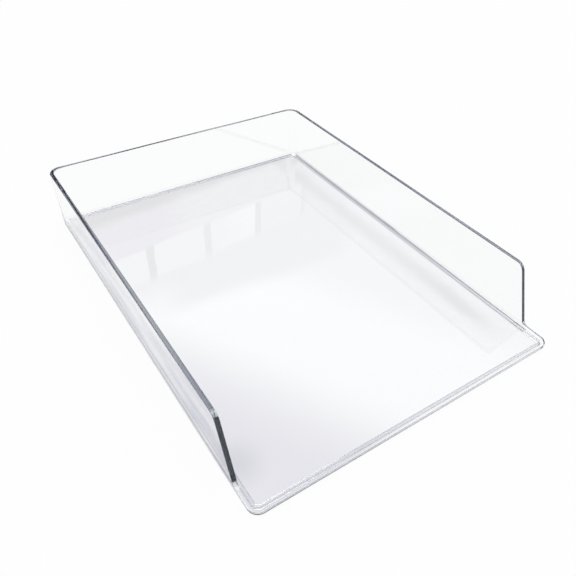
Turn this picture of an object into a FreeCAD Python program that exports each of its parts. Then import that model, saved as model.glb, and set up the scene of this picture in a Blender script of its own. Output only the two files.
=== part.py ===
"""Letter tray: one clear injection-moulded polystyrene tray that stacks on others of its kind.

The tray is a floor with three upright walls. Its front is open over a low lip, and the two side
walls slope down to that lip. A narrow foot ring under the floor carries the tray and drops inside
the rim of the tray below. Sizes are millimetres. The origin is the centre of the tray in plan, on the
surface the tray stands on: +X is to the right, +Y to the back wall and +Z up.
"""
import FreeCAD, Part
import math
import os

import Sketcher

V = FreeCAD.Vector

SIZES = [
    # alias, value in mm (angles in degrees), what it is
    ("tray_width", 253.0, "outer width of the base, left to right"),
    ("tray_depth", 344.0, "outer depth, from the front of the base to the back of the rim"),
    ("tray_height", 50.8, "height of the rim above the table"),
    ("wall_thickness", 3.2, "thickness of the walls"),
    ("floor_thickness", 2.6, "thickness of the floor"),
    ("wall_lean", 1.0, "how far each side wall leans outward from base to rim, as mould draft"),
    ("back_lean", 6.6, "how far the back wall leans outward from base to rim"),
    ("front_corner_radius", 7.5, "outer radius in plan of the two front corners of the base"),
    ("back_corner_radius", 7.5, "outer radius in plan of the two back corners of the base"),
    ("rim_corner_radius", 10.5, "outer corner radius in plan at the rim"),
    ("least_corner_radius", 0.8, "smallest corner radius in plan that the mould has"),
    ("base_edge_radius", 1.2, "round along the outer bottom edge"),
    ("floor_fillet_radius", 2.0, "fillet between the floor and the inside of the walls"),
    ("foot_height", 1.0, "how far the foot ring stands out below the floor"),
    ("foot_inset", 3.0, "outer side of the foot ring, in from the outer side of the base"),
    ("foot_width", 2.6, "width of the foot ring"),
    ("foot_edge_radius", 0.9, "round along both lower edges of the foot ring"),
    ("lip_rise", 0.8, "height of the front lip above the floor"),
    ("end_setback", 40.5, "front of the base to where the slope of a wall end meets the rim"),
    ("end_slope", 21.0, "angle of the sloped wall ends, from upright"),
    ("end_top_radius", 8.0, "round at the top of each sloped wall end"),
    ("end_foot_radius", 5.5, "hollow radius where a sloped wall end runs into the lip"),
    ("free_edge_radius", 0.5, "small round along the rim and the outer edge of the ends and the lip"),
]
OVERRUN = 5.0          # how far a cutting profile reaches past the plastic
TOUCH = 0.01           # tolerance for finding an edge or a face by its place
ROUND_SHARE = 0.9      # largest share of a face that one round may take
PAIR_SHARE = 0.45      # largest share of a face that each of two facing rounds may take

HALF_WIDTH = "Sizes.tray_width / 2"
HALF_DEPTH = "Sizes.tray_depth / 2"
FLOOR_LEVEL = "(Sizes.foot_height + Sizes.floor_thickness)"
LIP_LEVEL = "(Sizes.foot_height + Sizes.floor_thickness + Sizes.lip_rise)"
BASE_BACK = "(Sizes.tray_depth / 2 - Sizes.back_lean)"
FLOOR_SHARE = "(Sizes.floor_thickness / (Sizes.tray_height - Sizes.foot_height))"
FOOT_REACH = "(Sizes.foot_inset + Sizes.foot_width)"
FREE_ROUND = "min(Sizes.free_edge_radius; Sizes.wall_thickness * %s)" % PAIR_SHARE


def make_sheet(doc):
    """The spreadsheet that holds every driving size under its alias."""
    sheet = doc.addObject("Spreadsheet::Sheet", "Sizes")
    for row, (alias, value, meaning) in enumerate(SIZES, start=1):
        sheet.set("A%d" % row, meaning)
        sheet.set("B%d" % row, str(value))
        sheet.setAlias("B%d" % row, alias)
    doc.recompute()
    return sheet


def measure(item, expression):
    """The present value of an expression over the spreadsheet."""
    return float(item.evalExpression(expression))


def corner_less(radius, inset):
    """Expression for a corner radius that lies inside another one, no tighter than the mould allows."""
    return "max(%s - %s; Sizes.least_corner_radius)" % (radius, inset)


def origin_plane(body, role):
    """One of the body's own origin planes, found by its role."""
    for feature in body.Origin.OriginFeatures:
        if feature.Role == role:
            return feature
    raise ValueError("no origin plane " + role)


def new_sketch(body, name, role, height="0"):
    """An empty sketch on one of the body's origin planes, raised by a height."""
    sketch = body.newObject("Sketcher::SketchObject", name)
    sketch.AttachmentSupport = [(origin_plane(body, role), "")]
    sketch.MapMode = "FlatFace"
    sketch.setExpression(".AttachmentOffset.Base.z", height)
    return sketch


def bind(sketch, index, name, expression):
    """Name a constraint and drive it from the spreadsheet."""
    sketch.renameConstraint(index, name)
    sketch.setExpression("Constraints." + name, expression)


def rounded_outline(sketch, name, half_width, front, back, front_radius, back_radius):
    """Add a rectangle with round corners, given by how far its sides lie from the origin.

    The sizes are expressions.
    """
    across = measure(sketch, half_width)
    near = measure(sketch, front)
    far = measure(sketch, back)
    front_corner = measure(sketch, front_radius)
    back_corner = measure(sketch, back_radius)
    straights = []
    arcs = []
    # counter-clockwise from the front right corner
    corners = [(across - front_corner, front_corner - near, front_corner),
               (across - back_corner, far - back_corner, back_corner),
               (back_corner - across, far - back_corner, back_corner),
               (front_corner - across, front_corner - near, front_corner)]
    for quarter, (centre_x, centre_y, radius) in enumerate(corners):
        start = (quarter - 1) * math.pi / 2
        circle = Part.Circle(V(centre_x, centre_y, 0), V(0, 0, 1), radius)
        arcs.append(sketch.addGeometry(Part.ArcOfCircle(circle, start, start + math.pi / 2)))
    for quarter in range(4):
        first = sketch.Geometry[arcs[quarter]].EndPoint
        last = sketch.Geometry[arcs[(quarter + 1) % 4]].StartPoint
        straights.append(sketch.addGeometry(Part.LineSegment(first, last)))
    for quarter in range(4):
        following = arcs[(quarter + 1) % 4]
        sketch.addConstraint(Sketcher.Constraint("Tangent", arcs[quarter], 2, straights[quarter], 1))
        sketch.addConstraint(Sketcher.Constraint("Tangent", straights[quarter], 2, following, 1))
    right_side, back_side, left_side, front_side = straights
    sketch.addConstraint(Sketcher.Constraint("Vertical", right_side))
    sketch.addConstraint(Sketcher.Constraint("Horizontal", back_side))
    sketch.addConstraint(Sketcher.Constraint("Vertical", left_side))
    sketch.addConstraint(Sketcher.Constraint("Horizontal", front_side))
    sketch.addConstraint(Sketcher.Constraint("Equal", arcs[0], arcs[3]))
    sketch.addConstraint(Sketcher.Constraint("Equal", arcs[1], arcs[2]))
    driven = [
        (Sketcher.Constraint("Radius", arcs[0], front_corner), "front_corner", front_radius),
        (Sketcher.Constraint("Radius", arcs[1], back_corner), "back_corner", back_radius),
        (Sketcher.Constraint("DistanceX", -1, 1, right_side, 1, across), "right", half_width),
        (Sketcher.Constraint("DistanceX", left_side, 1, -1, 1, across), "left", half_width),
        (Sketcher.Constraint("DistanceY", -1, 1, back_side, 1, far), "back", back),
        (Sketcher.Constraint("DistanceY", front_side, 1, -1, 1, near), "front", front),
    ]
    for constraint, side, expression in driven:
        bind(sketch, sketch.addConstraint(constraint), name + "_" + side, expression)


def loft(body, kind, name, lower, upper):
    """A straight-sided loft from one outline up to the other, added to or cut from the body."""
    feature = body.newObject("PartDesign::" + kind, name)
    feature.Profile = lower
    feature.Sections = [upper]
    feature.Ruled = True
    return feature


def edges_where(shape, test):
    """Names of the edges of a shape whose every sample point passes the test."""
    names = []
    for number, edge in enumerate(shape.Edges, start=1):
        if all(test(point) for point in edge.discretize(5)):
            names.append("Edge%d" % number)
    return names


def border_edges(shape, on_face, on_edge):
    """Names of the edges around the faces whose every corner passes the first test.

    An edge between two such faces is left out, and so is one that fails the second test anywhere.
    """
    chosen = [face for face in shape.Faces if all(on_face(corner.Point) for corner in face.Vertexes)]
    names = []
    for number, edge in enumerate(shape.Edges, start=1):
        owners = sum(1 for face in chosen if any(edge.isSame(side) for side in face.Edges))
        if owners == 1 and all(on_edge(point) for point in edge.discretize(5)):
            names.append("Edge%d" % number)
    return names


def fillet(body, name, base, edges, radius):
    """A fillet along the named edges of the feature it follows."""
    feature = body.newObject("PartDesign::Fillet", name)
    feature.Base = (base, edges)
    feature.setExpression("Radius", radius)
    return feature


class TopLine:
    """Side view of the top of a side wall, from the lip up the sloped end to the rim.

    The places are (y, z) pairs: front of the lip, start and end of the hollow foot radius, start
    and end of the round at the top. crest is where the slope would meet the rim.
    """

    def __init__(self, sheet):
        self.slope = math.radians(measure(sheet, "Sizes.end_slope"))
        self.foot_radius = measure(sheet, "Sizes.end_foot_radius")
        self.top_radius = measure(sheet, "Sizes.end_top_radius")
        self.lip = measure(sheet, LIP_LEVEL)
        self.rim = measure(sheet, "Sizes.tray_height")
        self.front = -measure(sheet, HALF_DEPTH)
        self.crest = self.front + measure(sheet, "Sizes.end_setback")
        foot = self.crest - (self.rim - self.lip) * math.tan(self.slope)
        # a round of radius r between two lines that turn through 90 - slope starts r * reach away
        reach = math.tan((math.pi / 2 - self.slope) / 2)
        foot_run = self.foot_radius * reach
        top_run = self.top_radius * reach
        self.foot_start = V(foot - foot_run, self.lip, 0)
        self.foot_end = V(foot + foot_run * math.sin(self.slope),
                          self.lip + foot_run * math.cos(self.slope), 0)
        self.top_start = V(self.crest - top_run * math.sin(self.slope),
                           self.rim - top_run * math.cos(self.slope), 0)
        self.top_end = V(self.crest + top_run, self.rim, 0)

    def height(self, y):
        """Height of the top at a depth y."""
        if y <= self.foot_start.x:
            return self.lip
        if y <= self.foot_end.x:
            run = y - self.foot_start.x
            return self.lip + self.foot_radius - math.sqrt(self.foot_radius ** 2 - run ** 2)
        if y <= self.top_start.x:
            return self.foot_end.y + (y - self.foot_end.x) / math.tan(self.slope)
        if y <= self.top_end.x:
            run = self.top_end.x - y
            return self.rim - self.top_radius + math.sqrt(self.top_radius ** 2 - run ** 2)
        return self.rim


def front_profile(body, top):
    """Side view of what is cut away at the front, closed above the rim.

    From the front it runs back along the top of the lip, turns up the hollow foot radius into the
    sloped wall end, and over the round at its top onto the rim.
    """
    sketch = new_sketch(body, "front_cut_profile", "YZ_Plane")
    corners = [V(top.front - OVERRUN, top.lip, 0), V(top.top_end.x + OVERRUN, top.rim, 0),
               V(top.top_end.x + OVERRUN, top.rim + OVERRUN, 0),
               V(top.front - OVERRUN, top.rim + OVERRUN, 0)]
    foot_circle = Part.Circle(top.foot_start + V(0, top.foot_radius, 0), V(0, 0, 1), top.foot_radius)
    top_circle = Part.Circle(top.top_end - V(0, top.top_radius, 0), V(0, 0, 1), top.top_radius)
    lip_line = sketch.addGeometry(Part.LineSegment(corners[0], top.foot_start))
    foot_round = sketch.addGeometry(Part.ArcOfCircle(foot_circle, -math.pi / 2, -top.slope))
    end_line = sketch.addGeometry(Part.LineSegment(top.foot_end, top.top_start))
    top_round = sketch.addGeometry(Part.ArcOfCircle(top_circle, math.pi / 2, math.pi - top.slope))
    rim_line = sketch.addGeometry(Part.LineSegment(top.top_end, corners[1]))
    back_line = sketch.addGeometry(Part.LineSegment(corners[1], corners[2]))
    upper_line = sketch.addGeometry(Part.LineSegment(corners[2], corners[3]))
    front_line = sketch.addGeometry(Part.LineSegment(corners[3], corners[0]))
    crest = sketch.addGeometry(Part.Point(V(top.crest, top.rim, 0)), True)
    joins = [("Tangent", lip_line, 2, foot_round, 1), ("Tangent", foot_round, 2, end_line, 1),
             ("Tangent", end_line, 2, top_round, 2), ("Tangent", top_round, 1, rim_line, 1),
             ("Coincident", rim_line, 2, back_line, 1), ("Coincident", back_line, 2, upper_line, 1),
             ("Coincident", upper_line, 2, front_line, 1), ("Coincident", front_line, 2, lip_line, 1),
             ("PointOnObject", crest, 1, end_line), ("PointOnObject", crest, 1, rim_line)]
    joins += [("Horizontal", level) for level in (lip_line, rim_line, upper_line)]
    joins += [("Vertical", upright) for upright in (back_line, front_line)]
    for join in joins:
        sketch.addConstraint(Sketcher.Constraint(*join))
    driven = [
        (Sketcher.Constraint("Radius", foot_round, top.foot_radius), "foot_radius",
         "Sizes.end_foot_radius"),
        (Sketcher.Constraint("Radius", top_round, top.top_radius), "top_radius",
         "Sizes.end_top_radius"),
        (Sketcher.Constraint("DistanceY", -1, 1, lip_line, 1, top.lip), "lip", LIP_LEVEL),
        (Sketcher.Constraint("DistanceY", -1, 1, rim_line, 1, top.rim), "rim", "Sizes.tray_height"),
        (Sketcher.Constraint("DistanceX", crest, 1, -1, 1, -top.crest), "crest",
         HALF_DEPTH + " - Sizes.end_setback"),
        (Sketcher.Constraint("Angle", -1, 1, end_line, 1, math.pi / 2 - top.slope), "slope",
         "90 deg - Sizes.end_slope * 1 deg"),
        (Sketcher.Constraint("DistanceX", lip_line, 1, -1, 1, OVERRUN - top.front), "reach_front",
         "%s + %s" % (HALF_DEPTH, OVERRUN)),
        (Sketcher.Constraint("DistanceY", back_line, 1, back_line, 2, OVERRUN), "reach_up",
         str(OVERRUN)),
        (Sketcher.Constraint("DistanceX", rim_line, 1, rim_line, 2, OVERRUN), "reach_back",
         str(OVERRUN)),
    ]
    for constraint, name, expression in driven:
        bind(sketch, sketch.addConstraint(constraint), name, expression)
    return sketch


def wall_outline(body, name, height, inset, share, front_radius, back_radius):
    """A sketch of the outline of the walls at one height.

    inset is how far it lies in from the outer side, and share is the part of its full lean that
    a wall has reached there.
    """
    sketch = new_sketch(body, name, "XY_Plane", height)
    leaning = " - %s + Sizes.%s * %s"
    side = leaning % (inset, "wall_lean", share)
    back = leaning % (inset, "back_lean", share)
    rounded_outline(sketch, "side", HALF_WIDTH + side, HALF_DEPTH + side, BASE_BACK + back,
                    front_radius, back_radius)
    return sketch


def shell(doc, body):
    """The block with leaning sides, hollowed from the rim down to the floor, with its rounds."""
    base = wall_outline(body, "base_outline", "Sizes.foot_height", "0", "0",
                        "Sizes.front_corner_radius", "Sizes.back_corner_radius")
    rim = wall_outline(body, "rim_outline", "Sizes.tray_height", "0", "1",
                       "Sizes.rim_corner_radius", "Sizes.rim_corner_radius")
    loft(body, "AdditiveLoft", "outer_block", base, rim)
    thickness = "Sizes.wall_thickness"
    mouth_radius = corner_less("Sizes.rim_corner_radius", thickness)
    floor = wall_outline(body, "floor_outline", FLOOR_LEVEL, thickness, FLOOR_SHARE,
                         corner_less("Sizes.front_corner_radius", thickness), mouth_radius)
    mouth = wall_outline(body, "mouth_outline", "Sizes.tray_height", thickness, "1",
                         mouth_radius, mouth_radius)
    hollow = loft(body, "SubtractiveLoft", "paper_hollow", floor, mouth)
    doc.recompute()

    underside = measure(body, "Sizes.foot_height")
    under = edges_where(hollow.Shape, lambda point: abs(point.z - underside) < TOUCH)
    base_round = fillet(body, "base_edge_round", hollow, under,
                        "min(Sizes.base_edge_radius; Sizes.foot_inset * %s)" % ROUND_SHARE)
    doc.recompute()

    level = measure(body, FLOOR_LEVEL)
    mouth_inset = " - Sizes.wall_thickness + Sizes.wall_lean"
    inner_width = measure(body, HALF_WIDTH + mouth_inset)
    inner_depth = measure(body, HALF_DEPTH + mouth_inset)
    inside = edges_where(base_round.Shape, lambda point: abs(point.z - level) < TOUCH
                         and abs(point.x) < inner_width and abs(point.y) < inner_depth)
    floor_fillet = fillet(body, "floor_fillet", base_round, inside, "Sizes.floor_fillet_radius")
    doc.recompute()

    rim_level = measure(body, "Sizes.tray_height")
    mouth_edges = edges_where(floor_fillet.Shape, lambda point: abs(point.z - rim_level) < TOUCH
                              and abs(point.x) < inner_width + TOUCH
                              and abs(point.y) < inner_depth + TOUCH)
    fillet(body, "mouth_edge_round", floor_fillet, mouth_edges, FREE_ROUND)
    doc.recompute()


def foot_ring(doc, body):
    """The rounded ring that the tray stands on, which locates it inside the rim of the one below."""
    outline = new_sketch(body, "foot_outline", "XY_Plane")
    for title, inset in (("outer", "Sizes.foot_inset"), ("inner", FOOT_REACH)):
        rounded_outline(outline, title, HALF_WIDTH + " - " + inset, HALF_DEPTH + " - " + inset,
                        BASE_BACK + " - " + inset, corner_less("Sizes.front_corner_radius", inset),
                        corner_less("Sizes.back_corner_radius", inset))
    ring = body.newObject("PartDesign::Pad", "foot_ring")
    ring.Profile = outline
    ring.setExpression("Length", "Sizes.foot_height")
    doc.recompute()
    lower = edges_where(ring.Shape, lambda point: abs(point.z) < TOUCH)
    fillet(body, "foot_round", ring, lower,
           "min(Sizes.foot_edge_radius; Sizes.foot_height * %s; Sizes.foot_width * %s)"
           % (ROUND_SHARE, PAIR_SHARE))
    doc.recompute()


def open_front(doc, body, sheet):
    """Cut the front down to the lip, slope the wall ends, and round their outer edge."""
    top = TopLine(sheet)
    cut = body.newObject("PartDesign::Pocket", "open_front")
    cut.Profile = front_profile(body, top)
    cut.SideType = "Symmetric"
    cut.Type = "ThroughAll"
    doc.recompute()
    inner_width = measure(body, HALF_WIDTH + " - Sizes.wall_thickness / 2")
    inner_depth = measure(body, HALF_DEPTH + " - Sizes.wall_thickness / 2")
    free = border_edges(cut.Shape, lambda point: abs(point.z - top.height(point.y)) < TOUCH,
                        lambda point: abs(point.x) > inner_width or abs(point.y) > inner_depth)
    fillet(body, "free_edge_round", cut, free, FREE_ROUND)
    doc.recompute()


def letter_tray(doc, sheet):
    """The whole moulding: floor, walls, foot ring, front lip and sloped wall ends."""
    body = doc.addObject("PartDesign::Body", "letter_tray")
    body.Label = "letter_tray"
    shell(doc, body)
    foot_ring(doc, body)
    open_front(doc, body, sheet)
    return body


def check_document(doc):
    """Stop if any object failed to build."""
    for item in doc.Objects:
        if "Invalid" in item.State or "Error" in item.State:
            raise RuntimeError("%s failed: %s" % (item.Name, item.State))


def main():
    doc = FreeCAD.newDocument("letter_tray")
    pieces = [letter_tray(doc, make_sheet(doc))]
    doc.recompute()
    check_document(doc)
    os.makedirs("parts", exist_ok=True)
    for piece in pieces:
        shape = piece.Shape
        if shape.isNull() or not shape.isValid() or len(shape.Solids) != 1:
            raise RuntimeError("%s has no sound solid" % piece.Label)
        box = shape.BoundBox
        print("%s: %.2f x %.2f x %.2f mm, volume %.0f mm3" %
              (piece.Label, box.XLength, box.YLength, box.ZLength, shape.Volume))
    for piece in pieces:
        piece.Shape.exportStep("parts/%s.step" % piece.Label)


main()
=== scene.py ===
"""A clear polystyrene letter tray on a pale studio floor.

The tray is one moulding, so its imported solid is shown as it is, in a clear plastic that is made here.
The rest of the script is the studio: floor, sky and camera. Lengths are metres, in the frame of the
solids: +X right, +Y to the back wall, +Z up.
"""
import functools
import math

import bpy
from mathutils import Matrix, Vector


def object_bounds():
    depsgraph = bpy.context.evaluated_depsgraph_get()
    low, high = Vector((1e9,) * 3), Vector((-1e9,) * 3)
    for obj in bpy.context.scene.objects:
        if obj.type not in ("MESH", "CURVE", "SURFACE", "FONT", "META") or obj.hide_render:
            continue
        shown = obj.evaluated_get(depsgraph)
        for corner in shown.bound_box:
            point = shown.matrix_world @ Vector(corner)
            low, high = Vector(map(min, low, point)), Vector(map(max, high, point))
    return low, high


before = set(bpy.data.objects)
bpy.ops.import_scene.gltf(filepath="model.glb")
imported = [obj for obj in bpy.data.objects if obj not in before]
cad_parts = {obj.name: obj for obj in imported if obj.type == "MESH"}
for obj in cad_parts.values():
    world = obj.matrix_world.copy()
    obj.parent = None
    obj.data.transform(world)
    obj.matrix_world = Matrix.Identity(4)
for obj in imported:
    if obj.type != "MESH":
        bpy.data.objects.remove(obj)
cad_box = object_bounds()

MM = 0.001                       # one millimetre in metres
LEFT_SIDE = cad_box[0][0]        # the tray's own reach, to the left, to the front and up
FRONT_EDGE = cad_box[0][1]
RIM_HEIGHT = cad_box[1][2]


# ---------------------------------------------------------------------------------------------
# small tools

SMOOTH = {"interpolation_type": "SMOOTHSTEP"}
EASED = {"color_ramp.interpolation": "EASE"}
COLOUR = {"data_type": "RGBA"}
PRODUCT = {"operation": "MULTIPLY"}
QUOTIENT = {"operation": "DIVIDE"}
DIFFERENCE = {"operation": "SUBTRACT"}
SIZE_OF = {"operation": "ABSOLUTE"}


def srgb(code):
    """Linear colour with alpha 1 from an sRGB hex code such as "8090a0"."""
    channels = []
    for start in (0, 2, 4):
        value = int(code[start:start + 2], 16) / 255
        channels.append(value / 12.92 if value <= 0.04045 else ((value + 0.055) / 1.055) ** 2.4)
    return (channels[0], channels[1], channels[2], 1.0)


def grey(value):
    """A linear grey with alpha 1."""
    return (value, value, value, 1.0)


def add_node(tree, kind, settings=None, stops=(), **inputs):
    """Add a node. inputs are its sockets by name, as values or links.

    settings are properties, with a dot where one lies inside another. stops are the (position,
    colour) pairs of a colour ramp, in rising order. An underscore in a socket's name stands for a
    space, and a number after two underscores picks the socket by its place, as in Value__1.
    """
    node = tree.nodes.new(kind)
    for name, value in (settings or {}).items():
        *owners, last = name.split(".")
        setattr(functools.reduce(getattr, owners, node), last, value)
    if stops:
        for _ in stops[2:]:
            node.color_ramp.elements.new(0.5)
        for element, (position, colour) in zip(node.color_ramp.elements, stops):
            element.position = position
            element.color = colour
    for name, value in inputs.items():
        key = int(name.split("__")[1]) if "__" in name else name.replace("_", " ")
        if isinstance(value, bpy.types.NodeSocket):
            tree.links.new(value, node.inputs[key])
        else:
            node.inputs[key].default_value = value
    return node


def new_tree(owner):
    """An empty node tree on a material or a world."""
    owner.use_nodes = True
    owner.node_tree.nodes.clear()
    return owner.node_tree


# ---------------------------------------------------------------------------------------------
# the tray's plastic

SWELL_LENGTH = 45 * MM
SWELL_DEPTH = 0.04 * MM
RUB_WIDTH = 6 * MM
BEST_POLISH = 0.004              # roughness of a clean face and of the most rubbed one
WORST_POLISH = 0.03
REFRACTION = 1.59
TINT = (0.42, 0.5, 0.56, 1.0)    # linear colour that the depth of the plastic takes on
TINT_DENSITY = 12.0              # per metre
RIM_SHADE_START = 108 * MM       # sideways from the middle, where the painted shade on the rim starts
RIM_SHADE_FULL = 122 * MM
FRONT_EDGE_SHADE = 0.45               # darkness of the painted shade on the front edge, where the side rims have 1


def clear_polystyrene():
    """Crystal polystyrene, injection moulded against a polished tool.

    It is glass-clear with a high refractive index, so its edges carry light from far inside the
    sheet. That long way through the plastic shows its slight blue-grey tint, and every rim, wall end
    and foot line looks dark while the thin floor stays nearly white. The side rims and the front
    edge are darkened further by painted shade.
    """
    material = bpy.data.materials.new("clear_polystyrene_polished")
    tree = new_tree(material)
    place = add_node(tree, "ShaderNodeTexCoord").outputs["Object"]
    # flow waves: the melt leaves a very shallow swell in the polished faces
    swell = add_node(tree, "ShaderNodeTexNoise", Vector=place, Scale=1 / SWELL_LENGTH, Detail=2.0,
                     Roughness=0.45)
    waves = add_node(tree, "ShaderNodeBump", Strength=1.0, Distance=SWELL_DEPTH,
                     Height=swell.outputs["Fac"])
    # handling haze: fine rub marks, drawn several millimetres wide so that they show
    haze = add_node(tree, "ShaderNodeTexNoise", Vector=place, Scale=1 / RUB_WIDTH, Detail=4.0,
                    Roughness=0.6)
    polish = add_node(tree, "ShaderNodeMapRange", Value=haze.outputs["Fac"], From_Min=0.45,
                      From_Max=0.75, To_Min=BEST_POLISH, To_Max=WORST_POLISH)
    # painted shade: the depth of the plastic alone leaves the side rims and the front edge too pale,
    # so they are darkened by their place with a painted shade colour
    spot = add_node(tree, "ShaderNodeSeparateXYZ", Vector=place)
    sideways = add_node(tree, "ShaderNodeMath", SIZE_OF, Value__0=spot.outputs["X"])
    at_side = add_node(tree, "ShaderNodeMapRange", SMOOTH, Value=sideways.outputs["Value"],
                       From_Min=RIM_SHADE_START, From_Max=RIM_SHADE_FULL)
    at_rim = add_node(tree, "ShaderNodeMapRange", SMOOTH, Value=spot.outputs["Z"],
                      From_Min=RIM_HEIGHT - 0.6 * MM, From_Max=RIM_HEIGHT - 0.3 * MM)
    at_front = add_node(tree, "ShaderNodeMapRange", SMOOTH, Value=spot.outputs["Y"],
                        From_Min=FRONT_EDGE + 0.56 * MM, From_Max=FRONT_EDGE + 0.26 * MM,
                        To_Max=FRONT_EDGE_SHADE)
    painted_rim_shade = add_node(tree, "ShaderNodeMath", {"operation": "MULTIPLY_ADD"},
                     Value__0=at_side.outputs["Result"], Value__1=at_rim.outputs["Result"],
                     Value__2=at_front.outputs["Result"])
    shaded_body = add_node(tree, "ShaderNodeMix", COLOUR, Factor=painted_rim_shade.outputs["Value"],
                    A=srgb("ffffff"), B=srgb("8e9096"))
    surface = add_node(tree, "ShaderNodeBsdfPrincipled", Base_Color=shaded_body.outputs["Result"],
                       Roughness=polish.outputs["Result"], IOR=REFRACTION, Transmission_Weight=1.0,
                       Normal=waves.outputs["Normal"])
    depth = add_node(tree, "ShaderNodeVolumeAbsorption", Color=TINT, Density=TINT_DENSITY)
    add_node(tree, "ShaderNodeOutputMaterial", Surface=surface.outputs["BSDF"],
             Volume=depth.outputs["Volume"])
    return material


# ---------------------------------------------------------------------------------------------
# the floor

FLOOR_DROP = 0.1 * MM            # the floor lies this far below the foot ring, to keep faces apart
FLOOR_SIZE = 12.0
FLOCK_WIDTH = 9 * MM
WHITE_SHARE_SEEN = 0.95          # how much of the floor's look is plain white, shadow aside
WHITE_SHARE_THROUGH = 1.0        # the same for the floor seen through the plastic
SHADE_REACH = 1.3 * MM           # how near the tray must be to shade the floor
FOOT_SHADE = 0.7                 # tone of the floor right under the foot ring, where white is 1
TRAY_SHADE = 0.888               # and under the rest of the tray
OPENNESS_UNDER = 0.716           # how open the floor counts there, from 0 when covered to 1 when free
SHADOW_START = LEFT_SIDE - 1.5 * MM     # the painted shadow beside the left wall, from here outwards
SHADOW_WIDTH = 39 * MM
SHADOW_TIP = 180 * MM            # where it ends, to the front and to the back
SHADOW_FRONT = -160 * MM         # where it is deepest, and where it is faintest
SHADOW_BACK = 170 * MM
SHADOW_DEPTH_FRONT = 0.42        # share of the shadow's own tone in it, at the front and the back
SHADOW_DEPTH_BACK = 0.14
STREAK_WIDTH = 3 * MM
STREAK_LENGTH = 80 * MM
END_SHADOW_PLACE = (LEFT_SIDE + 10.5 * MM, FRONT_EDGE + 36 * MM, 0.0)
END_SHADOW_REACH = 24 * MM
END_SHADOW_DEPTH = 0.14


def shadow_beside(tree, place):
    """How deep the painted shadow is on the floor beside the tray's left wall.

    It is set by place and not cast by a light: a soft strip, deepest at the front and broken into
    streaks, so that the clear wall has some tone to show.
    """
    spot = add_node(tree, "ShaderNodeSeparateXYZ", Vector=place)
    outward = add_node(tree, "ShaderNodeMapRange", SMOOTH, Value=spot.outputs["X"],
                       From_Min=SHADOW_START - SHADOW_WIDTH, From_Max=SHADOW_START)
    outside = add_node(tree, "ShaderNodeMapRange", SMOOTH, Value=spot.outputs["X"],
                       From_Min=SHADOW_START + 2 * MM, From_Max=SHADOW_START)
    lengthways = add_node(tree, "ShaderNodeMath", SIZE_OF, Value__0=spot.outputs["Y"])
    alongside = add_node(tree, "ShaderNodeMapRange", SMOOTH, Value=lengthways.outputs["Value"],
                         From_Min=SHADOW_TIP, From_Max=SHADOW_TIP - 40 * MM)
    strip = add_node(tree, "ShaderNodeMath", PRODUCT, Value__0=outward.outputs["Result"],
                     Value__1=outside.outputs["Result"])
    beside = add_node(tree, "ShaderNodeMath", PRODUCT, Value__0=strip.outputs["Value"],
                      Value__1=alongside.outputs["Result"])
    forward = add_node(tree, "ShaderNodeMapRange", Value=spot.outputs["Y"], From_Min=SHADOW_BACK,
                       From_Max=SHADOW_FRONT, To_Min=SHADOW_DEPTH_BACK, To_Max=SHADOW_DEPTH_FRONT)
    drawn_out = add_node(tree, "ShaderNodeVectorMath", PRODUCT, Vector__0=place,
                         Vector__1=(1 / STREAK_WIDTH, 1 / STREAK_LENGTH, 0.0))
    streak = add_node(tree, "ShaderNodeTexNoise", {"noise_dimensions": "2D"},
                      Vector=drawn_out.outputs["Vector"], Scale=1.0, Detail=2.0)
    streaks = add_node(tree, "ShaderNodeMapRange", Value=streak.outputs["Fac"], From_Min=0.35,
                       From_Max=0.65, To_Min=0.55, To_Max=1.45)
    deep = add_node(tree, "ShaderNodeMath", PRODUCT, Value__0=forward.outputs["Result"],
                    Value__1=streaks.outputs["Result"])
    return add_node(tree, "ShaderNodeMath", PRODUCT, Value__0=beside.outputs["Value"],
                    Value__1=deep.outputs["Value"]).outputs["Value"]


def shadow_of_end(tree, place):
    """How deep the painted soft spot is on the sheet under the tray, by the left wall's end."""
    away = add_node(tree, "ShaderNodeVectorMath", {"operation": "DISTANCE"}, Vector__0=place,
                    Vector__1=END_SHADOW_PLACE)
    return add_node(tree, "ShaderNodeMapRange", SMOOTH, Value=away.outputs["Value"],
                    From_Min=END_SHADOW_REACH, From_Max=0.0,
                    To_Max=END_SHADOW_DEPTH).outputs["Result"]


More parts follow.
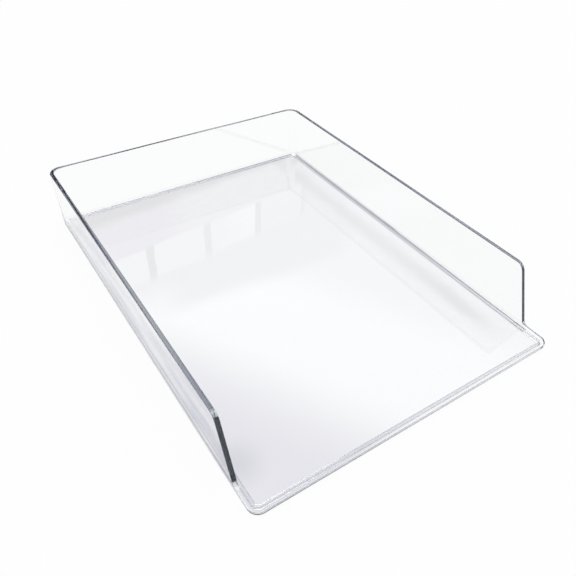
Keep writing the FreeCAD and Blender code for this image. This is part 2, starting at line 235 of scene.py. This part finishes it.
def studio_floor():
    """Seamless white paper, a matt sheet.

    Looked at straight or mirrored it is plain white light, but for a small share that takes the
    studio's light and the tray's shadow. Through the plastic it is white light alone. That light is
    toned down close to the tray, and by two painted shadows that a straight look doesn't show.
    """
    material = bpy.data.materials.new("seamless_white_paper")
    tree = new_tree(material)
    path = add_node(tree, "ShaderNodeLightPath")
    place = add_node(tree, "ShaderNodeTexCoord").outputs["Object"]
    # felt of the sheet: soft flocks, a hair off white
    felt = add_node(tree, "ShaderNodeTexNoise", Vector=place, Scale=1 / FLOCK_WIDTH, Detail=2.0)
    tone = add_node(tree, "ShaderNodeMix", COLOUR, Factor=felt.outputs["Fac"],
                    A=srgb("f6f6f8"), B=srgb("fafafa"))
    paper = add_node(tree, "ShaderNodeBsdfDiffuse", Color=tone.outputs["Result"])
    # closeness: painted shade, the sheet's white is darkened under the tray, and most where the foot
    # ring stands
    close = add_node(tree, "ShaderNodeAmbientOcclusion", {"samples": 8}, Distance=SHADE_REACH)
    shade = add_node(tree, "ShaderNodeValToRGB",
                     stops=[(0.0, grey(FOOT_SHADE)), (OPENNESS_UNDER, grey(TRAY_SHADE)),
                            (1.0, grey(1.0))], Fac=close.outputs["AO"])
    # the two painted shadows, which are kept out of the straight look at the sheet
    both = add_node(tree, "ShaderNodeMath", {"operation": "ADD"}, Value__0=shadow_beside(tree, place),
                    Value__1=shadow_of_end(tree, place))
    unseen = add_node(tree, "ShaderNodeMath", DIFFERENCE, Value__0=1.0,
                      Value__1=path.outputs["Is Camera Ray"])
    lost = add_node(tree, "ShaderNodeMath", PRODUCT, Value__0=both.outputs["Value"],
                    Value__1=unseen.outputs["Value"])
    cool = add_node(tree, "ShaderNodeMix", COLOUR, Factor=lost.outputs["Value"],
                    A=srgb("ffffff"), B=srgb("3e4874"))
    shaded = add_node(tree, "ShaderNodeVectorMath", PRODUCT, Vector__0=shade.outputs["Color"],
                      Vector__1=cool.outputs["Result"])
    white = add_node(tree, "ShaderNodeEmission", Color=shaded.outputs["Vector"], Strength=1.0)
    seen = add_node(tree, "ShaderNodeMath", {"operation": "MAXIMUM"},
                    Value__0=path.outputs["Is Camera Ray"], Value__1=path.outputs["Is Glossy Ray"])
    plain = add_node(tree, "ShaderNodeMath", PRODUCT, Value__0=seen.outputs["Value"],
                     Value__1=WHITE_SHARE_SEEN)
    # a ray that has just left the plastic counts as glossy too, so transmission is asked last
    share = add_node(tree, "ShaderNodeMix", {"data_type": "FLOAT"},
                     Factor=path.outputs["Is Transmission Ray"], A=plain.outputs["Value"],
                     B=WHITE_SHARE_THROUGH)
    sheet = add_node(tree, "ShaderNodeMixShader", Fac=share.outputs["Result"],
                     Shader__1=paper.outputs["BSDF"], Shader__2=white.outputs["Emission"])
    add_node(tree, "ShaderNodeOutputMaterial", Surface=sheet.outputs["Shader"])
    return material


def build_floor():
    """The flat square that the tray stands on."""
    half = FLOOR_SIZE / 2
    mesh = bpy.data.meshes.new("studio_floor")
    corners = [(-half, -half, -FLOOR_DROP), (half, -half, -FLOOR_DROP), (half, half, -FLOOR_DROP),
               (-half, half, -FLOOR_DROP)]
    mesh.from_pydata(corners, [], [(0, 1, 2, 3)])
    floor = bpy.data.objects.new("studio_floor", mesh)
    bpy.context.scene.collection.objects.link(floor)
    mesh.materials.append(studio_floor())


# ---------------------------------------------------------------------------------------------
# the sky

SKY_PEAK = 2.8                   # radiance of the brightest sky, where white is 1
HORIZON = 0.05                   # least height that a slope is worked out with
GROUND_START = 0.44              # height below which the wall, the window and the rail are not seen
GROUND_END = 0.50
PANEL_TURN = math.radians(60)    # the tall side panel faces this way, from the back to the right
PANEL_START = 0.5                # its lower end, as distance out over height
WINDOW_TURN = math.radians(-6)   # the window's wall, measured as the panel is
SKIRTING_RISE = 0.70             # height of the dark skirting over the distance to the wall
LOW_WALL_RISE = 0.85             # where the low wall's tone starts to give way to the high wall's
HIGH_WALL_RISE = 1.0
SILL_RISE = 0.81                 # sill height over the distance to the wall
HEAD_RISE = 0.905                # height of the window head, in the same way
EAVES_RISE = 0.92                # where the wall above the window starts to fade out
EAVES_SLOPE = 0.15
WINDOW_MIDDLE = 0.455            # sideways place of the window over the distance to its wall
WINDOW_HALF = 0.455              # and half its width
WALL_END = 1.08                  # sideways end of the wall
FIRST_MULLION = 0.449
MULLION_STEP = 0.153
MULLION_HALF = 0.007
RAIL_SIDE = 0.995                # sideways place of the dark rail over its height
RAIL_HALF = 0.042


def toned(value, green=0.0, blue=0.0):
    """A sky colour from its red radiance and what green and blue have more, for SKY_PEAK as 1."""
    return (value / SKY_PEAK, (value + green) / SKY_PEAK, (value + blue) / SKY_PEAK, 1.0)


def room_light(tree, height):
    """The room: white low down, dim above, and a softbox straight overhead."""
    room = add_node(tree, "ShaderNodeValToRGB", EASED,
                    [(0.38, toned(1.0)), (0.48, toned(0.3, 0.0, 0.1)), (0.90, toned(0.1, 0.0, 0.25)),
                     (0.93, toned(2.8))], Fac=height)
    return room.outputs["Color"]


def with_panel(tree, way, height, raised, sky):
    """The sky with a tall bright panel to the back right.

    Its light changes with the distance out over the height, along the way that it faces.
    """
    facing = add_node(tree, "ShaderNodeVectorMath", {"operation": "DOT_PRODUCT"}, Vector__0=way,
                      Vector__1=(math.sin(PANEL_TURN), math.cos(PANEL_TURN), 0.0))
    reach = add_node(tree, "ShaderNodeMath", QUOTIENT, Value__0=facing.outputs["Value"],
                     Value__1=raised)
    past = add_node(tree, "ShaderNodeMath", DIFFERENCE, Value__0=reach.outputs["Value"],
                    Value__1=PANEL_START)
    # dim and cool at its lower end, then a broad bright band, then plain
    panel = add_node(tree, "ShaderNodeValToRGB", EASED,
                     [(0.08, toned(0.05, -0.05, 0.4)), (0.33, toned(1.7, 0.05, 0.1)),
                      (0.48, toned(1.7, 0.05, 0.1)), (0.68, toned(1.25, 0.05, 0.15))],
                     Fac=past.outputs["Value"])
    near = add_node(tree, "ShaderNodeMapRange", SMOOTH, Value=reach.outputs["Value"],
                    From_Min=PANEL_START - 0.08, From_Max=PANEL_START)
    foot = add_node(tree, "ShaderNodeMapRange", SMOOTH, Value=height, From_Min=0.48, From_Max=0.54)
    mask = add_node(tree, "ShaderNodeMath", PRODUCT, Value__0=near.outputs["Result"],
                    Value__1=foot.outputs["Result"])
    return add_node(tree, "ShaderNodeMix", COLOUR, Factor=mask.outputs["Value"], A=sky,
                    B=panel.outputs["Color"]).outputs["Result"]


def with_wall(tree, across, rise, above_ground, sky):
    """The sky with a grey wall to the back, dark along its skirting and paler high up."""
    low_wall = add_node(tree, "ShaderNodeValToRGB", EASED,
                        [(0.46, toned(0.8, -0.05, 0.2)), (0.58, toned(1.0, 0.0, 0.1))], Fac=across)
    high_wall = add_node(tree, "ShaderNodeValToRGB", EASED,
                         [(0.44, toned(1.4, 0.05, 0.15)), (0.54, toned(1.0, 0.05, 0.15))],
                         Fac=across)
    skirting = add_node(tree, "ShaderNodeMapRange", SMOOTH, Value=rise, From_Min=SKIRTING_RISE,
                        From_Max=SKIRTING_RISE + 0.027, To_Min=0.3, To_Max=1.0)
    foot_wall = add_node(tree, "ShaderNodeMix", COLOUR, Factor=skirting.outputs["Result"],
                         A=toned(0.0), B=low_wall.outputs["Color"])
    upward = add_node(tree, "ShaderNodeMapRange", SMOOTH, Value=rise, From_Min=LOW_WALL_RISE,
                      From_Max=HIGH_WALL_RISE)
    wall = add_node(tree, "ShaderNodeMix", COLOUR, Factor=upward.outputs["Result"],
                    A=foot_wall.outputs["Result"], B=high_wall.outputs["Color"])
    leaning = add_node(tree, "ShaderNodeMath", {"operation": "MULTIPLY_ADD"}, Value__0=across,
                       Value__1=-EAVES_SLOPE, Value__2=rise)
    under_eaves = add_node(tree, "ShaderNodeMapRange", SMOOTH, Value=leaning.outputs["Value"],
                           From_Min=EAVES_RISE + 0.08, From_Max=EAVES_RISE)
    beside_end = add_node(tree, "ShaderNodeMapRange", SMOOTH, Value=across,
                          From_Min=WALL_END + 0.08, From_Max=WALL_END - 0.04)
    inside = add_node(tree, "ShaderNodeMath", PRODUCT, Value__0=under_eaves.outputs["Result"],
                      Value__1=beside_end.outputs["Result"])
    mask = add_node(tree, "ShaderNodeMath", PRODUCT, Value__0=inside.outputs["Value"],
                    Value__1=above_ground)
    return add_node(tree, "ShaderNodeMix", COLOUR, Factor=mask.outputs["Value"], A=sky,
                    B=wall.outputs["Result"]).outputs["Result"]


def with_window(tree, across, rise, above_ground, sky):
    """The sky with a row of panes between sill and head, parted by mullions."""
    pane_light = add_node(tree, "ShaderNodeValToRGB", EASED,
                          [(0.62, toned(1.15, 0.05, 0.15)), (0.74, toned(1.3, 0.05, 0.15)),
                           (0.77, toned(1.05, 0.05, 0.15))], Fac=across)
    bar = add_node(tree, "ShaderNodeValToRGB", EASED,
                   [(0.45, toned(0.5, 0.0, 0.1)), (0.62, toned(0.75, 0.0, 0.1))], Fac=across)
    offset = add_node(tree, "ShaderNodeMath", DIFFERENCE, Value__0=across, Value__1=FIRST_MULLION)
    gap = add_node(tree, "ShaderNodeMath", {"operation": "PINGPONG"},
                   Value__0=offset.outputs["Value"], Value__1=MULLION_STEP / 2)
    open_pane = add_node(tree, "ShaderNodeMapRange", SMOOTH, Value=gap.outputs["Value"],
                         From_Min=MULLION_HALF, From_Max=MULLION_HALF + 0.005)
    window = add_node(tree, "ShaderNodeMix", COLOUR, Factor=open_pane.outputs["Result"],
                      A=bar.outputs["Color"], B=pane_light.outputs["Color"])
    above_sill = add_node(tree, "ShaderNodeMapRange", SMOOTH, Value=rise,
                          From_Min=SILL_RISE - 0.006, From_Max=SILL_RISE + 0.006)
    below_head = add_node(tree, "ShaderNodeMapRange", SMOOTH, Value=rise,
                          From_Min=HEAD_RISE + 0.015, From_Max=HEAD_RISE - 0.015)
    off_middle = add_node(tree, "ShaderNodeMath", DIFFERENCE, Value__0=across,
                          Value__1=WINDOW_MIDDLE)
    sideways = add_node(tree, "ShaderNodeMath", SIZE_OF, Value__0=off_middle.outputs["Value"])
    beside_frame = add_node(tree, "ShaderNodeMapRange", SMOOTH, Value=sideways.outputs["Value"],
                            From_Min=WINDOW_HALF + 0.01, From_Max=WINDOW_HALF - 0.01)
    tall = add_node(tree, "ShaderNodeMath", PRODUCT, Value__0=above_sill.outputs["Result"],
                    Value__1=below_head.outputs["Result"])
    wide = add_node(tree, "ShaderNodeMath", PRODUCT, Value__0=beside_frame.outputs["Result"],
                    Value__1=above_ground)
    mask = add_node(tree, "ShaderNodeMath", PRODUCT, Value__0=tall.outputs["Value"],
                    Value__1=wide.outputs["Value"])
    return add_node(tree, "ShaderNodeMix", COLOUR, Factor=mask.outputs["Value"], A=sky,
                    B=window.outputs["Result"]).outputs["Result"]


def with_rail(tree, parts, raised, above_ground, sky):
    """The sky with a dark rail level with the tray's right side, fainter towards the back."""
    side = add_node(tree, "ShaderNodeMath", QUOTIENT, Value__0=parts.outputs["X"], Value__1=raised)
    off_rail = add_node(tree, "ShaderNodeMath", DIFFERENCE, Value__0=side.outputs["Value"],
                        Value__1=RAIL_SIDE)
    from_rail = add_node(tree, "ShaderNodeMath", SIZE_OF, Value__0=off_rail.outputs["Value"])
    rail = add_node(tree, "ShaderNodeMapRange", SMOOTH, Value=from_rail.outputs["Value"],
                    From_Min=RAIL_HALF, From_Max=0.0)
    along = add_node(tree, "ShaderNodeMath", QUOTIENT, Value__0=parts.outputs["Y"], Value__1=raised)
    strength = add_node(tree, "ShaderNodeMapRange", SMOOTH, Value=along.outputs["Value"],
                        From_Min=0.95, From_Max=0.6, To_Min=0.45, To_Max=0.78)
    ending = add_node(tree, "ShaderNodeMapRange", SMOOTH, Value=along.outputs["Value"],
                      From_Min=0.50, From_Max=0.66)
    solid = add_node(tree, "ShaderNodeMath", PRODUCT, Value__0=strength.outputs["Result"],
                     Value__1=ending.outputs["Result"])
    high_rail = add_node(tree, "ShaderNodeMath", PRODUCT, Value__0=rail.outputs["Result"],
                         Value__1=above_ground)
    mask = add_node(tree, "ShaderNodeMath", PRODUCT, Value__0=high_rail.outputs["Value"],
                    Value__1=solid.outputs["Value"])
    return add_node(tree, "ShaderNodeMix", COLOUR, Factor=mask.outputs["Value"], A=sky,
                    B=toned(0.0, 0.0, 0.02)).outputs["Result"]


def build_sky():
    """Soft studio surroundings, which the tray mirrors.

    Radiances are given against white at 1. Looked at straight, all of the sky is plain white.
    """
    world = bpy.data.worlds.new("studio")
    bpy.context.scene.world = world
    tree = new_tree(world)
    way = add_node(tree, "ShaderNodeTexCoord").outputs["Generated"]
    parts = add_node(tree, "ShaderNodeSeparateXYZ", Vector=way)
    height = parts.outputs["Z"]
    raised = add_node(tree, "ShaderNodeMath", {"operation": "MAXIMUM"}, Value__0=height,
                      Value__1=HORIZON).outputs["Value"]
    above_ground = add_node(tree, "ShaderNodeMapRange", SMOOTH, Value=height,
                            From_Min=GROUND_START, From_Max=GROUND_END).outputs["Result"]
    # on the window's wall: sideways and upward distance over the distance ahead
    turned = add_node(tree, "ShaderNodeVectorRotate", {"rotation_type": "Z_AXIS"}, Vector=way,
                      Angle=WINDOW_TURN)
    axes = add_node(tree, "ShaderNodeSeparateXYZ", Vector=turned.outputs["Vector"])
    ahead = add_node(tree, "ShaderNodeMath", {"operation": "MAXIMUM"}, Value__0=axes.outputs["Y"],
                     Value__1=HORIZON).outputs["Value"]
    across = add_node(tree, "ShaderNodeMath", QUOTIENT, Value__0=axes.outputs["X"],
                      Value__1=ahead).outputs["Value"]
    rise = add_node(tree, "ShaderNodeMath", QUOTIENT, Value__0=height,
                    Value__1=ahead).outputs["Value"]
    sky = room_light(tree, height)
    sky = with_panel(tree, way, height, raised, sky)
    sky = with_wall(tree, across, rise, above_ground, sky)
    sky = with_window(tree, across, rise, above_ground, sky)
    sky = with_rail(tree, parts, raised, above_ground, sky)
    path = add_node(tree, "ShaderNodeLightPath")
    shown = add_node(tree, "ShaderNodeMix", COLOUR, Factor=path.outputs["Is Camera Ray"], A=sky,
                     B=toned(1.0))
    light = add_node(tree, "ShaderNodeBackground", Color=shown.outputs["Result"], Strength=SKY_PEAK)
    add_node(tree, "ShaderNodeOutputWorld", Surface=light.outputs["Background"])


# ---------------------------------------------------------------------------------------------
# the camera

LENS_PIXELS = 588.341            # focal length in pixels of the 576 pixel wide image
IMAGE_PIXELS = 576
SENSOR_WIDTH = 36.0              # millimetres
CAMERA_AZIMUTH = -0.60904        # radians from -Y towards -X
CAMERA_ELEVATION = 0.71723
CAMERA_ROLL = 0.04173
CAMERA_DISTANCE = 0.476079
CAMERA_TARGET = (-0.001655, -0.017198, 0.0)


def build_camera():
    """The camera, placed by its turn, height, roll and distance from a point on the floor."""
    turn, rise, roll = CAMERA_AZIMUTH, CAMERA_ELEVATION, CAMERA_ROLL
    back = Vector((math.sin(turn) * math.cos(rise), -math.cos(turn) * math.cos(rise), math.sin(rise)))
    level = (-back).cross(Vector((0, 0, 1))).normalized()
    upright = level.cross(-back)
    right = level * math.cos(roll) + upright * math.sin(roll)
    up = upright * math.cos(roll) - level * math.sin(roll)
    data = bpy.data.cameras.new("camera")
    data.sensor_width = SENSOR_WIDTH
    data.lens = LENS_PIXELS / IMAGE_PIXELS * SENSOR_WIDTH
    data.clip_start = 0.01
    camera = bpy.data.objects.new("camera", data)
    bpy.context.scene.collection.objects.link(camera)
    place = Vector(CAMERA_TARGET) + back * CAMERA_DISTANCE
    turned = Matrix((right, up, back)).transposed().to_4x4()
    camera.matrix_world = Matrix.Translation(place) @ turned
    bpy.context.scene.camera = camera


# ---------------------------------------------------------------------------------------------
# the scene

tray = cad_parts["letter_tray"]
plastic = clear_polystyrene()
for tray_slot in tray.material_slots:
    tray_slot.material = plastic

build_camera()
build_floor()
build_sky()
bpy.context.scene.view_settings.view_transform = "Standard"
# light goes round inside the walls by many mirror-like bounces, which the dark edges depend on
light_paths = bpy.context.scene.cycles
light_paths.max_bounces = 128
light_paths.glossy_bounces = 128
light_paths.transmission_bounces = 64
